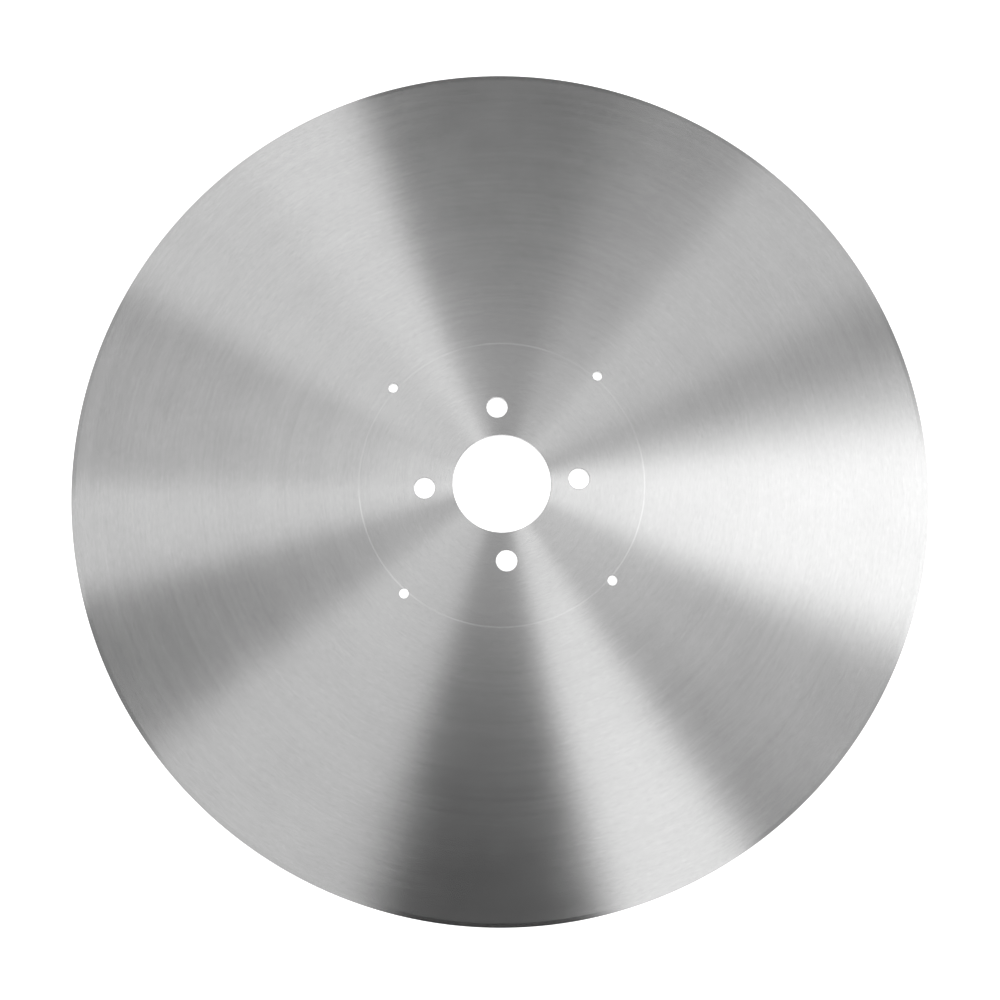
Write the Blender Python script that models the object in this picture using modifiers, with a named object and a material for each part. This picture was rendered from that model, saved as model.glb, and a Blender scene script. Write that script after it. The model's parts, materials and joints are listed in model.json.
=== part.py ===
"""Log saw blade: a plain-edged circular knife, turned and ground from one steel plate.

The blade lies flat on its hub land. The bore's axis is +Z, the origin is on that axis in
the lower face, and one drive hole lies on +X. Sizes are in metres.
"""

import math

import bpy

COLLECTION_NAME = "log_saw_blade"

# Disc: a flat land round the bore, a web that is taper-ground from it to the rim, and a
# knife edge with the same bevel on both sides
BLADE_DIAMETER = 0.610
HUB_THICKNESS = 0.00476
LAND_DIAMETER = 0.203
RIM_THICKNESS = 0.0012
BEVEL_WIDTH = 0.003
EDGE_THICKNESS = 0.0003

# Bore on the saw's arbor
BORE_DIAMETER = 0.070
BORE_EDGE_BREAK = 0.0003

# Holes for the drive pins, inside the clamped land
DRIVE_HOLE_COUNT = 4
DRIVE_HOLE_DIAMETER = 0.015
DRIVE_CIRCLE_DIAMETER = 0.110

# Small holes on the land's edge, half a step round from the drive holes
OUTER_HOLE_COUNT = 4
OUTER_HOLE_DIAMETER = 0.007
OUTER_CIRCLE_DIAMETER = 0.208

HOLE_EDGE_BREAK = 0.0003
CUTTER_OVERRUN = 0.001

# Facets round each circle, and the angle above which an edge is shaded sharp
DISC_STEPS = 192
DRIVE_HOLE_STEPS = 64
OUTER_HOLE_STEPS = 64
SHARP_ANGLE = math.radians(7)
MERGE_DISTANCE = 1e-6

# Ground tool steel
STEEL_COLOR = (0.62, 0.62, 0.61, 1.0)
STEEL_ROUGHNESS = 0.3
STEEL_ANISOTROPY = 0.7


def half_thickness(radius):
    """Half the blade's thickness at a radius, from the land to where the bevel starts."""
    land_radius = LAND_DIAMETER / 2
    taper_length = BLADE_DIAMETER / 2 - BEVEL_WIDTH - land_radius
    along_taper = max(0.0, radius - land_radius) / taper_length
    return (HUB_THICKNESS + (RIM_THICKNESS - HUB_THICKNESS) * along_taper) / 2


def blade_section():
    """Closed section of the disc about its middle plane, as (radius, height) points."""
    bore = BORE_DIAMETER / 2
    rim = BLADE_DIAMETER / 2
    hub = HUB_THICKNESS / 2
    upper = [
        (bore, hub - BORE_EDGE_BREAK),
        (bore + BORE_EDGE_BREAK, hub),
        (LAND_DIAMETER / 2, hub),
        (rim - BEVEL_WIDTH, RIM_THICKNESS / 2),
        (rim, EDGE_THICKNESS / 2),
    ]
    lower = [(radius, -height) for radius, height in reversed(upper)]
    return upper + lower


def hole_section(hole_diameter, centre_radius):
    """Half section of a cutter that bores a hole and breaks its edge at both faces."""
    hole = hole_diameter / 2
    face = half_thickness(centre_radius)
    flare = hole + HOLE_EDGE_BREAK + CUTTER_OVERRUN
    upper = [
        (0.0, face + CUTTER_OVERRUN),
        (flare, face + CUTTER_OVERRUN),
        (hole, face - HOLE_EDGE_BREAK),
    ]
    lower = [(radius, -height) for radius, height in reversed(upper)]
    return upper + lower


def turned_object(name, section, closed, steps, collection):
    """Turns a section round +Z. Its points run down the outer side, from top to bottom."""
    count = len(section)
    edges = [(i, i + 1) for i in range(count - 1)]
    if closed:
        edges.append((count - 1, 0))
    mesh = bpy.data.meshes.new(name)
    mesh.from_pydata([(radius, 0.0, height) for radius, height in section], edges, [])
    turned = bpy.data.objects.new(name, mesh)
    collection.objects.link(turned)
    screw = turned.modifiers.new("turn", "SCREW")
    screw.axis = "Z"
    screw.angle = math.tau
    screw.steps = steps
    screw.render_steps = steps
    screw.use_merge_vertices = True
    screw.merge_threshold = MERGE_DISTANCE
    return turned


def add_hole_cutters(name, count, first_turn, hole_diameter, circle_diameter, steps, cutters):
    """Places a ring of hole cutters, the first at first_turn of a step round from +X."""
    section = hole_section(hole_diameter, circle_diameter / 2)
    for i in range(count):
        angle = math.tau * (i + first_turn) / count
        cutter = turned_object(f"{name}_{i + 1}", section, False, steps, cutters)
        cutter.location = (
            math.cos(angle) * circle_diameter / 2,
            math.sin(angle) * circle_diameter / 2,
            HUB_THICKNESS / 2,
        )
        cutter.hide_render = True
        cutter.display_type = "WIRE"


def apply_modifiers(turned):
    """Replaces the object's mesh by its finished shape, with its worked edges sharp."""
    depsgraph = bpy.context.evaluated_depsgraph_get()
    mesh = bpy.data.meshes.new_from_object(turned.evaluated_get(depsgraph))
    turned.modifiers.clear()
    turned.data = mesh
    mesh.shade_smooth()
    mesh.set_sharp_from_angle(angle=SHARP_ANGLE)


def ground_steel():
    """Tool steel with a circular grind, which stretches its highlights across the lay."""
    material = bpy.data.materials.new("ground_steel")
    material.use_nodes = True
    shader = material.node_tree.nodes["Principled BSDF"]
    shader.inputs["Base Color"].default_value = STEEL_COLOR
    shader.inputs["Metallic"].default_value = 1.0
    shader.inputs["Roughness"].default_value = STEEL_ROUGHNESS
    shader.inputs["Anisotropic"].default_value = STEEL_ANISOTROPY
    return material


def new_collection(name):
    collection = bpy.data.collections.new(name)
    bpy.context.scene.collection.children.link(collection)
    return collection


def make_blade(parts, cutters):
    """The blade: one turned disc, cut by every hole cutter."""
    blade = turned_object("blade", blade_section(), True, DISC_STEPS, parts)
    blade.location.z = HUB_THICKNESS / 2
    add_hole_cutters(
        "drive_hole",
        DRIVE_HOLE_COUNT,
        0.0,
        DRIVE_HOLE_DIAMETER,
        DRIVE_CIRCLE_DIAMETER,
        DRIVE_HOLE_STEPS,
        cutters,
    )
    add_hole_cutters(
        "outer_hole",
        OUTER_HOLE_COUNT,
        0.5,
        OUTER_HOLE_DIAMETER,
        OUTER_CIRCLE_DIAMETER,
        OUTER_HOLE_STEPS,
        cutters,
    )
    drilling = blade.modifiers.new("drill_holes", "BOOLEAN")
    drilling.operation = "DIFFERENCE"
    drilling.solver = "EXACT"
    drilling.operand_type = "COLLECTION"
    drilling.collection = cutters
    apply_modifiers(blade)
    blade.data.materials.clear()
    blade.data.materials.append(ground_steel())
    return blade


def main():
    for leftover in list(bpy.data.objects):
        bpy.data.objects.remove(leftover)
    parts = new_collection(COLLECTION_NAME)
    cutters = new_collection("cutters")
    make_blade(parts, cutters)


main()
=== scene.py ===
# %% [markdown]
# # A log saw blade in ground steel
#
# A log saw knife is a thin steel disc with a plain, bevelled edge. It is turned and ground while
# it spins, so every scratch on it is part of a circle, and under studio lights it shows the
# well-known fan of bright and dark wedges. Nearly all of its look comes from that grind and from
# what stands round it, and this script builds both.

# %% The frame
import json
import math

import bpy
import numpy as np
from mathutils import Matrix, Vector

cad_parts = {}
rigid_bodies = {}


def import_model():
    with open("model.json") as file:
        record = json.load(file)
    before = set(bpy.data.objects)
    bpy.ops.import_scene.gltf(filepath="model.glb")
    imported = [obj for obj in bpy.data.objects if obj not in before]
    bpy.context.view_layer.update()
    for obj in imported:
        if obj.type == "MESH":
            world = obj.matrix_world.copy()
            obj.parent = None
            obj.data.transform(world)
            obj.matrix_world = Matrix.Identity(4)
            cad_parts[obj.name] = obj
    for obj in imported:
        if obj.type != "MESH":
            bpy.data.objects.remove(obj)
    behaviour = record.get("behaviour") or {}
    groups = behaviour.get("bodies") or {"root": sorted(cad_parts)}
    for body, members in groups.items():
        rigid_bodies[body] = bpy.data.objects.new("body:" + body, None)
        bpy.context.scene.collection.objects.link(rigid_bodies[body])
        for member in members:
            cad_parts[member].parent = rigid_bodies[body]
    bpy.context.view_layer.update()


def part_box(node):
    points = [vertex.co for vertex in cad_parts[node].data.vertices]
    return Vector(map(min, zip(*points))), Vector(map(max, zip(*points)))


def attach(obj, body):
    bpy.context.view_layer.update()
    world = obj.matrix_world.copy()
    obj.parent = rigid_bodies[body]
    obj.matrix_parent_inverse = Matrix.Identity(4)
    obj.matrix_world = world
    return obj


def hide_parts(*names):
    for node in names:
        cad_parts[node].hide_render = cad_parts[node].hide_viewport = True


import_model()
low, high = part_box("blade")
BLADE_RADIUS = (high.x - low.x) / 2
TOP = high.z
MIDDLE = TOP / 2
print("blade radius", round(BLADE_RADIUS, 4), "m, thickness", round(TOP, 5), "m")

# %% [markdown]
# ## The camera
#
# The blade is seen from almost straight above. It could be looked at with a long lens, but then
# the bore would sit in the middle of the outline, and in the picture it sits a little high of it.
# So the camera is near, two and a half radii away, and tips by six degrees. It is aimed at a
# level just under the blade's upper face.

# %% Camera
CAMERA_DISTANCE = 2.5 * BLADE_RADIUS
CAMERA_SIDE = 0.0043 * BLADE_RADIUS
CAMERA_RISE = 0.0385 * BLADE_RADIUS
TIP_ABOUT_X = math.radians(-6.17)
TIP_ABOUT_Y = math.radians(0.61)
TURN_OF_HOLES = math.radians(3.5)
LENS_PER_WIDTH = 1.0727
SENSOR = 36.0
AIMED_AT = 0.8 * TOP
CLIP_END = 50

into_view = (
    Matrix.Translation((CAMERA_SIDE, CAMERA_RISE, -CAMERA_DISTANCE))
    @ Matrix.Rotation(TIP_ABOUT_Y, 4, "Y")
    @ Matrix.Rotation(TIP_ABOUT_X, 4, "X")
    @ Matrix.Rotation(TURN_OF_HOLES, 4, "Z")
    @ Matrix.Translation((0, 0, -AIMED_AT))
)
camera_data = bpy.data.cameras.new("camera")
camera_data.sensor_width = SENSOR
camera_data.lens = SENSOR * LENS_PER_WIDTH
camera_data.clip_end = CLIP_END
camera = bpy.data.objects.new("camera", camera_data)
camera.matrix_world = into_view.inverted()
bpy.context.scene.collection.objects.link(camera)
bpy.context.scene.camera = camera
bpy.context.scene.view_settings.view_transform = "Standard"
print("camera stands at", [round(c, 3) for c in camera.matrix_world.translation])

# %% [markdown]
# ## Sums on sockets
#
# A material is a sum over the surface. Written with nodes by hand it is long, so a small class
# wraps a node's output, and Python's own signs on it add the Math nodes.


# %% Sockets with arithmetic
class Wire:
    """One output of a node. Arithmetic on it adds Math nodes to the same tree."""

    def __init__(self, socket):
        self.socket = socket

    @classmethod
    def of(cls, tree, kind, settings=None, sockets=None, output=0):
        """Adds a node with its settings, then the values or links of its sockets."""
        node = tree.nodes.new(kind)
        for name, value in (settings or {}).items():
            setattr(node, name, value)
        for name, value in (sockets or {}).items():
            if isinstance(value, Wire):
                tree.links.new(value.socket, node.inputs[name])
            else:
                node.inputs[name].default_value = value
        return cls(node.outputs[output])

    def math(self, operation, *others):
        """A Math node whose first operand is this wire."""
        sockets = dict(enumerate((self, *others)))
        return Wire.of(self.socket.id_data, "ShaderNodeMath", {"operation": operation}, sockets)

    def __add__(self, other):
        return self.math("ADD", other)

    __radd__ = __add__

    def __sub__(self, other):
        return self.math("SUBTRACT", other)

    def __rsub__(self, other):
        return self.math("MULTIPLY_ADD", -1.0, other)

    def __mul__(self, other):
        return self.math("MULTIPLY", other)

    __rmul__ = __mul__

    def __truediv__(self, other):
        return self.math("DIVIDE", other)

    def between(self, start, end, low=0.0, high=1.0):
        """Eases from low to high while this wire goes from start to end."""
        return Wire.of(
            self.socket.id_data,
            "ShaderNodeMapRange",
            {"interpolation_type": "SMOOTHSTEP"},
            {"Value": self, "From Min": start, "From Max": end, "To Min": low, "To Max": high},
        )


def new_material(name):
    """A material with nodes, and its tree and its Principled shader."""
    material = bpy.data.materials.new(name)
    material.use_nodes = True
    return material, material.node_tree, material.node_tree.nodes["Principled BSDF"]


# %% [markdown]
# ## The studio
#
# What the steel shows is the room. Lamps could stand round it, but a ring-ground face smears each
# lamp along the radius, so only its bearing and rough height can be seen. The sky is therefore a
# short list of soft panels, set from the wedges in the picture: the bearing of each, its
# half width, how soft its upright edges are and how bright it is. The first five are broad and
# light the sides of the room, and the others are the lamps. They hang round an even ceiling,
# which is what shows near the bore.
#
# Angles are in degrees. The room leans by a few of them, so that the ceiling's middle is where the
# bore mirrors it and every wedge runs straight out from the bore, as in the picture. Low down the
# room is plain white, as the backdrop is.

# %% Sky
PANELS = [
    (58, 51, 4, 0.22),
    (35, 34, 16, 0.25),
    (180, 72, 4, 0.32),
    (330, 47, 3, 0.35),
    (340, 26, 20, 0.3),
    (354, 15, 12, 1.4),
    (39, 12, 4, 0.45),
    (130, 21, 6, 0.75),
    (118, 9, 8, 0.2),
    (166, 13, 10, 0.3),
    (187, 8, 3, 0.75),
    (236, 19, 8, 0.65),
    (296, 10, 5, 1.25),
]
ROOM_LEVEL = 0.03
ROOM_LEAN = math.radians(7)
CEILING_LEVEL = 1.3
CEILING_EDGE = 6
PANEL_FOOT = 60
EDGE_SOFTNESS = 5
HORIZON_FROM = 66
HORIZON_TO = 78
HORIZON_LEVEL = 0.85

world = bpy.data.worlds.new("studio")
world.use_nodes = True
bpy.context.scene.world = world
sky = world.node_tree
direction = Wire.of(sky, "ShaderNodeTexCoord", output="Generated")
for axis, turn in ("Z_AXIS", TURN_OF_HOLES), ("X_AXIS", ROOM_LEAN):
    direction = Wire.of(
        sky,
        "ShaderNodeVectorRotate",
        {"rotation_type": axis},
        {"Vector": direction, "Angle": turn},
    )
axes = Wire.of(sky, "ShaderNodeSeparateXYZ", sockets={0: direction}).socket.node
east, north, up = (Wire(axes.outputs[k]) for k in range(3))
bearing = north.math("ARCTAN2", east) * (180 / math.pi)
overhead = up.math("ARCCOSINE") * (180 / math.pi)
light = 0.0
for centre, half_width, edge, level in PANELS:
    off = (bearing - centre).math("WRAP", 180.0, -180.0).math("ABSOLUTE")
    panel = off.between(half_width + edge / 2, half_width - edge / 2)
    light = panel * level + light
ceiling = overhead.between(CEILING_EDGE + EDGE_SOFTNESS, CEILING_EDGE - EDGE_SOFTNESS)
above_foot = overhead.between(PANEL_FOOT + EDGE_SOFTNESS, PANEL_FOOT - EDGE_SOFTNESS)
light = light * (1 - ceiling) * above_foot + ceiling * CEILING_LEVEL + ROOM_LEVEL
low_down = overhead.between(HORIZON_FROM, HORIZON_TO)
light = light * (1 - low_down) + low_down * HORIZON_LEVEL
seen = Wire.of(sky, "ShaderNodeLightPath", output="Is Camera Ray")
light = light * (1 - seen) + seen
background = sky.nodes["Background"]
sky.links.new(light.socket, background.inputs["Color"])
print(len(PANELS), "panels in the sky")

# %% [markdown]
# ## The floor
#
# The picture's ground is plain white. More light would wash out the steel, so the floor keeps its
# pale colour and adds some white of its own only where the camera or a reflection looks at it.
# The thin shadow under the rim stays.

# %% Floor
FLOOR_HALF = 6.0
FLOOR_GAP = 0.0002
FLOOR_COLOR = (0.8, 0.8, 0.8, 1)
FLOOR_OWN_WHITE = 0.85

floor_mesh = bpy.data.meshes.new("floor")
corners = FLOOR_HALF * np.array([(-1, -1, 0), (1, -1, 0), (1, 1, 0), (-1, 1, 0)])
corners[:, 2] = -FLOOR_GAP
floor_mesh.from_pydata(corners.tolist(), [], [(0, 1, 2, 3)])
floor = bpy.data.objects.new("floor", floor_mesh)
bpy.context.scene.collection.objects.link(floor)
floor_paint, tree, shader = new_material("floor_paint")
shader.inputs["Base Color"].default_value = FLOOR_COLOR
shader.inputs["Roughness"].default_value = 0.9
shader.inputs["Specular IOR Level"].default_value = 0.0
shader.inputs["Emission Color"].default_value = (1, 1, 1, 1)
rays = Wire.of(tree, "ShaderNodeLightPath").socket.node
looks = [Wire(rays.outputs[n]) for n in ("Is Camera Ray", "Is Glossy Ray", "Is Transmission Ray")]
looked_at = (looks[0] + looks[1] + looks[2]) * FLOOR_OWN_WHITE
tree.links.new(looked_at.socket, shader.inputs["Emission Strength"])
floor_mesh.materials.append(floor_paint)
print("floor", 2 * FLOOR_HALF, "m square")

# %% [markdown]
# ## The blade's shape
#
# The blade is one closed section turned round the bore's axis: a flat land round the bore, a web
# ground thinner in a straight taper, and a short bevel to the edge. A lathe modifier would do,
# but a grid worked out with numpy keeps its rows where the pattern of the grind needs them.
#
# Each row of holes is its count, how far round the first one stands as a share of a step, the
# circle's radius, the hole's radius and its facets.

# %% Sizes
BORE_RADIUS = 0.035
LAND_RADIUS = 0.1015
BEVEL_WIDTH = 0.003
RIM_HALF = 0.0006
EDGE_HALF = 0.00015
EDGE_BREAK = 0.0003
WEB_ROWS = 22
LAND_ROWS = 8
TURN_STEPS = 720
DRIVE_HOLES = (4, 0.0, 0.055, 0.0075, 72)
OUTER_HOLES = (4, 0.5, 0.104, 0.0035, 64)
CUTTER_REACH = 0.001
SHARP_ANGLE = math.radians(7)


def half_thickness(radius):
    """Half the plate: level on the land, then falling evenly to where the bevel starts."""
    ends = [LAND_RADIUS, BLADE_RADIUS - BEVEL_WIDTH]
    return np.interp(radius, ends, [MIDDLE, RIM_HALF])


def broken_edge(radius, height, outwards, count=4):
    """A quarter round of EDGE_BREAK between a wall at radius and a face at height."""
    turn = np.linspace(0, math.pi / 2, count)
    along = radius + outwards * EDGE_BREAK * (1 - np.cos(turn))
    up = height - EDGE_BREAK * (1 - np.sin(turn))
    return np.column_stack([along, up])


def blade_section():
    """The upper half from the bore's middle out to the edge, then its mirror image back."""
    land = np.linspace(BORE_RADIUS + EDGE_BREAK, LAND_RADIUS, LAND_ROWS)[1:]
    web = np.linspace(LAND_RADIUS, BLADE_RADIUS - BEVEL_WIDTH, WEB_ROWS)[1:]
    rows = np.concatenate([land, web])
    upper = np.vstack(
        [
            [(BORE_RADIUS, 0.0)],
            broken_edge(BORE_RADIUS, MIDDLE, 1),
            np.column_stack([rows, half_thickness(rows)]),
            [(BLADE_RADIUS, EDGE_HALF), (BLADE_RADIUS, 0.0)],
        ]
    )
    lower = upper[-2:0:-1] * (1, -1)
    return np.vstack([upper, lower])


section = blade_section()
print("section of", len(section), "points")


# %% [markdown]
# ## Turning a section
#
# A turned surface is a grid: one way along the section, the other way round the axis. The same
# function turns the disc, whose section closes on itself, and the cutters, which end in caps.

# %% Turned pieces
def turned(name, section, steps, centre=(0.0, 0.0), closed=True):
    """x = r cos a and y = r sin a about the centre, z = the section's height above the middle."""
    turn = np.linspace(0, math.tau, steps, endpoint=False)
    radius, height = section[:, :1], section[:, 1:]
    grid = np.stack(
        [
            centre[0] + radius * np.cos(turn),
            centre[1] + radius * np.sin(turn),
            MIDDLE + height + 0 * turn,
        ],
        axis=-1,
    )
    rows = len(section)
    number = np.arange(rows * steps).reshape(rows, steps)
    here = number if closed else number[:-1]
    above = np.roll(number, -1, axis=0) if closed else number[1:]
    quads = np.stack([here, above, np.roll(above, -1, axis=1), np.roll(here, -1, axis=1)], axis=-1)
    faces = quads.reshape(-1, 4).tolist()
    if not closed:
        faces += [number[0].tolist(), number[-1][::-1].tolist()]
    mesh = bpy.data.meshes.new(name)
    mesh.from_pydata(grid.reshape(-1, 3).tolist(), [], faces)
    mesh.update()
    piece = bpy.data.objects.new(name, mesh)
    bpy.context.scene.collection.objects.link(piece)
    return piece


blade = turned("ground_blade", section, TURN_STEPS)
volume = sum(p.area * p.center.dot(p.normal) for p in blade.data.polygons) / 3
print("blade has", len(blade.data.polygons), "faces, signed volume", round(volume * 1e6, 1), "cm3")

# %% [markdown]
# ## The holes
#
# Four pin holes stand close to the bore and four small ones out on the edge of the land. Each
# cutter is a turned pin that flares at both faces, so that it also breaks the hole's edges, and
# the cut is applied at once because the pattern of the grind needs the finished faces.


# %% Drilling
def pin_section(hole, face):
    """A pin that is hole wide inside the plate and flares in a quarter round at its faces."""
    upper = broken_edge(hole, face, 1)[::-1]
    top = [(hole + EDGE_BREAK, face + CUTTER_REACH)]
    side = np.vstack([top, upper, [(hole, 0.0)]])
    return np.vstack([side, side[-2::-1] * (1, -1)])


cutters = bpy.data.collections.new("cutters")
holes = []
for count, first, circle, hole, steps in (DRIVE_HOLES, OUTER_HOLES):
    for k in range(count):
        turn = math.tau * (k + first) / count
        centre = (circle * math.cos(turn), circle * math.sin(turn))
        holes.append((*centre, hole))
        shape = pin_section(hole, float(half_thickness(circle)))
        pin = turned(f"pin_{len(holes)}", shape, steps, centre, closed=False)
        cutters.objects.link(pin)

drilling = blade.modifiers.new("drilling", "BOOLEAN")
drilling.operation = "DIFFERENCE"
drilling.solver = "EXACT"
drilling.operand_type = "COLLECTION"
drilling.collection = cutters
evaluated = blade.evaluated_get(bpy.context.evaluated_depsgraph_get())
finished = bpy.data.meshes.new_from_object(evaluated)
blade.modifiers.clear()
blade.data = finished
for pin in list(cutters.objects):
    bpy.data.objects.remove(pin)
bpy.data.collections.remove(cutters)
finished.shade_smooth()
finished.set_sharp_from_angle(angle=SHARP_ANGLE)
print(len(holes), "holes drilled,", len(finished.polygons), "faces left")

# %% [markdown]
# ## Unrolling the blade
#
# A grind follows circles, so the blade is unrolled like a scroll: across the map is the angle,
# up the map is the radius. Both faces and both half turns get a strip each. The walls of the
# bore, the holes and the edge are thin, and fold into the empty part of the map beside them.

# %% Polar map
STRIP_HEIGHT = 0.24
STRIP_GAP = 0.01
WALL_ROOM = 0.003

count = len(finished.vertices)
place = np.empty(count * 3)
finished.vertices.foreach_get("co", place)
place = place.reshape(-1, 3)
depth = half_thickness(np.hypot(place[:, 0], place[:, 1])) - abs(place[:, 2] - MIDDLE)
flat = place[:, :2].copy()
for x, y, hole in [(0.0, 0.0, BORE_RADIUS)] + holes:
    away = flat - (x, y)
    reach = np.hypot(away[:, 0], away[:, 1])
    wall = (reach < hole + EDGE_BREAK * 1.01) & (reach > 0)
    shorter = 1 - np.clip(depth[wall], 0, None) / reach[wall]
    flat[wall] = (x, y) + away[wall] * shorter[:, None]
radius = np.hypot(flat[:, 0], flat[:, 1])
rim = np.hypot(place[:, 0], place[:, 1]) > BLADE_RADIUS - 1e-6
radius[rim] += EDGE_HALF - abs(place[rim, 2] - MIDDLE)
angle = np.arctan2(flat[:, 1], flat[:, 0])

loops = len(finished.loops)
corner = np.empty(loops, dtype=np.int32)
finished.loops.foreach_get("vertex_index", corner)
sizes = np.empty(len(finished.polygons), dtype=np.int32)
finished.polygons.foreach_get("loop_total", sizes)
face = np.repeat(np.arange(len(sizes)), sizes)


def face_mean(values):
    """The mean of the corners' values on each face, given back to every corner."""
    return (np.bincount(face, values) / sizes)[face]


upper = face_mean(place[corner, 2]) > MIDDLE
left = face_mean(np.sin(angle[corner])) > 0
across = np.where(left, angle[corner], -angle[corner]) % math.tau / math.pi
across = np.where(across > 1.5, 0.0, across)
inner = BORE_RADIUS - WALL_ROOM
outer = BLADE_RADIUS + WALL_ROOM / 4
along = (radius[corner] - inner) / (outer - inner)
strip = 2 * upper + left
mirrored = np.where(upper == left, across, 1 - across)
uv = np.column_stack([mirrored, strip * (STRIP_HEIGHT + STRIP_GAP) + along * STRIP_HEIGHT])
layer = finished.uv_layers.new(name="OFBake")
layer.uv.foreach_set("vector", uv.astype(np.float32).ravel())
print("map spans", uv.min(0).round(3), uv.max(0).round(3))

# %% [markdown]
# ## Ground steel
#
# The face is covered with scratches that run round. Each could be modelled, but they are finer
# than a hair, and what the eye sees is that light spreads across them and not along them. The
# shader has a number for that, the anisotropy. The marks that are large enough to see come on
# top, and they need to know where on the blade they are: how far from the axis, and on which
# face, so that the two faces don't share their marks.

# %% Where on the blade
steel, tree, shader = new_material("ground_steel")
place_on = Wire.of(tree, "ShaderNodeTexCoord", output="Object")
axes = Wire.of(tree, "ShaderNodeSeparateXYZ", sockets={0: place_on}).socket.node
x, y, z = (Wire(axes.outputs[k]) for k in range(3))
from_axis = (x * x + y * y).math("SQRT")
other_face = z.math("GREATER_THAN", MIDDLE)
FACE_SHIFT = 31.7


def along_grind(length, width, detail):
    """Noise in patches of this length round the blade and this width across the grind."""
    point = Wire.of(
        tree,
        "ShaderNodeCombineXYZ",
        sockets={0: x / length, 1: y / length, 2: from_axis / width + other_face * FACE_SHIFT},
    )
    return Wire.of(
        tree, "ShaderNodeTexNoise", sockets={"Vector": point, "Scale": 1.0, "Detail": detail}
    )


def patches(size, detail):
    """Noise in patches that are as long as they are wide."""
    return Wire.of(
        tree,
        "ShaderNodeTexNoise",
        sockets={"Vector": place_on, "Scale": 1 / size, "Detail": detail},
    )


# %% [markdown]
# ## Marks of the grind
#
# The marks are noise that is stretched round the blade: streaks, broad rings that are a little
# brighter or duller, and short dashes where one grain of the wheel dug in. Clouds and a fine
# mottle are what hands and oil leave. The streaks grow stronger towards the rim.

# %% Marks
STREAKS_INSIDE = 0.03
STREAKS_AT_RIM = 0.06

streaks = along_grind(0.012, 0.0009, 1.0) - 0.5
rings = along_grind(0.25, 0.0035, 1.0) - 0.5
dashes = along_grind(0.0045, 0.0011, 0.0)
bright_dash = dashes.between(0.62, 0.74)
dull_dash = dashes.between(0.38, 0.26)
clouds = patches(0.035, 1.0) - 0.5
mottle = patches(0.005, 1.0) - 0.5
towards_rim = from_axis.between(0.15, 0.3, STREAKS_INSIDE, STREAKS_AT_RIM)
print("streaks, rings, dashes, clouds and a mottle")

# %% [markdown]
# ## The land's edge
#
# Where the flat land ends and the taper starts, a thin line catches the light, and here that
# highlight is painted into the steel's colour. It could be a ring of its own, but it has no height
# that can be seen. It is strongest on four arcs, so each arc is a bearing and a half width in
# degrees, and a strength.

# %% Line round the land
LINE_HALF_WIDTH = 0.0009
FAINTEST_HIGHLIGHT = 0.2
HIGHLIGHT_ARCS = [(82, 14, 0.6), (206, 24, 0.4), (261, 14, 0.6), (342, 28, 0.3)]
ARC_EDGE = 6

bearing_on = y.math("ARCTAN2", x) * (180 / math.pi)
highlighted = FAINTEST_HIGHLIGHT
for centre, half_width, strength in HIGHLIGHT_ARCS:
    off = (bearing_on - centre).math("WRAP", 180.0, -180.0).math("ABSOLUTE")
    highlighted = off.between(half_width + ARC_EDGE, half_width - ARC_EDGE, 0.0, strength) + highlighted
to_edge = (from_axis - LAND_RADIUS).math("ABSOLUTE")
# A highlight painted into the colour along the land's line, stronger on the arcs
painted_highlight_line = to_edge.between(LINE_HALF_WIDTH, 0.0) * highlighted
print(len(HIGHLIGHT_ARCS), "rubbed arcs")

# %% [markdown]
# ## The finish
#
# The marks change the steel's colour by a few parts in a hundred, and the highlight painted along
# the land's line by more, and some also its roughness. The streaks tilt the surface by a trace too.
# Across the grind the light spreads ten times as far as along it, which is what an anisotropy of 1
# gives. Where no tangent is linked, the shader's own runs round the piece's upright axis, so a
# quarter turn points the spread outwards from it.

# %% Steel
STEEL_COLOR = 0.5
ROUGHNESS = 0.195
STREAK_DEPTH = 0.000002
RING_SHADE = 0.08
CLOUD_SHADE = 0.1
MOTTLE_SHADE = 0.05
DASH_SHADE = 0.03
PAINTED_LINE_HIGHLIGHT = 0.35
MARK_ROUGHNESS = 0.02
LINE_ROUGHNESS = 0.03

shade = 1 + streaks * towards_rim + rings * RING_SHADE + clouds * CLOUD_SHADE + mottle * MOTTLE_SHADE
# The last term paints a highlight into the colour along the land's line
shade = shade + bright_dash * DASH_SHADE - dull_dash * DASH_SHADE + painted_highlight_line * PAINTED_LINE_HIGHLIGHT
shade = shade * STEEL_COLOR
color = Wire.of(tree, "ShaderNodeCombineColor", sockets={0: shade, 1: shade, 2: shade})
roughness = ROUGHNESS + rings * MARK_ROUGHNESS + clouds * MARK_ROUGHNESS
roughness = roughness + painted_highlight_line * LINE_ROUGHNESS
bump = Wire.of(tree, "ShaderNodeBump", sockets={"Height": streaks, "Distance": STREAK_DEPTH})
for name, wire in (("Base Color", color), ("Roughness", roughness), ("Normal", bump)):
    tree.links.new(wire.socket, shader.inputs[name])
shader.inputs["Metallic"].default_value = 1.0
shader.inputs["Anisotropic"].default_value = 1.0
shader.inputs["Anisotropic Rotation"].default_value = 0.25
finished.materials.clear()
finished.materials.append(steel)
print(len(tree.nodes), "nodes in the steel")

# %% The piece takes its place
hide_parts("blade")
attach(blade, "root")
